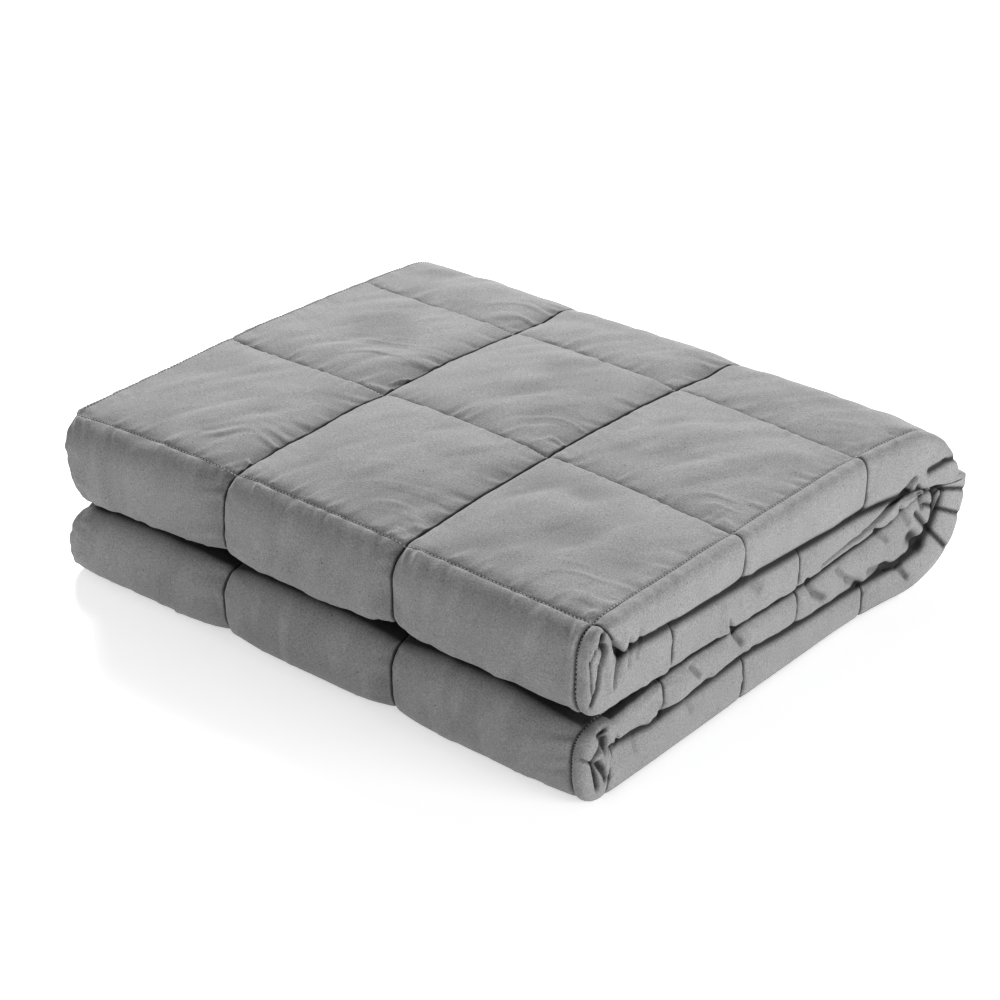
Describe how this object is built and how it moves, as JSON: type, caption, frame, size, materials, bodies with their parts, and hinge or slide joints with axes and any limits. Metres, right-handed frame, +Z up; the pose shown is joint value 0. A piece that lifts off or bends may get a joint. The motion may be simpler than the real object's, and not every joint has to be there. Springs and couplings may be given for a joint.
{
  "type": "weighted blanket",
  "caption": "Quilted weighted blanket folded into a flat rectangular pack, squares on top, layered ends.",
  "frame": {"origin": "centre of the bounding box, on the floor under the pack", "axes": "+X across the pack along the top front stitch line, +Y from the two front bends to the back bend, +Z up"},
  "size_m": [0.4086, 0.3632, 0.1175],
  "materials": {
    "grey_cloth": "matt brushed weave, quilted over filling"
  },
  "bodies": {
    "root": {"blanket": "grey_cloth"}
  },
  "joints": []
}
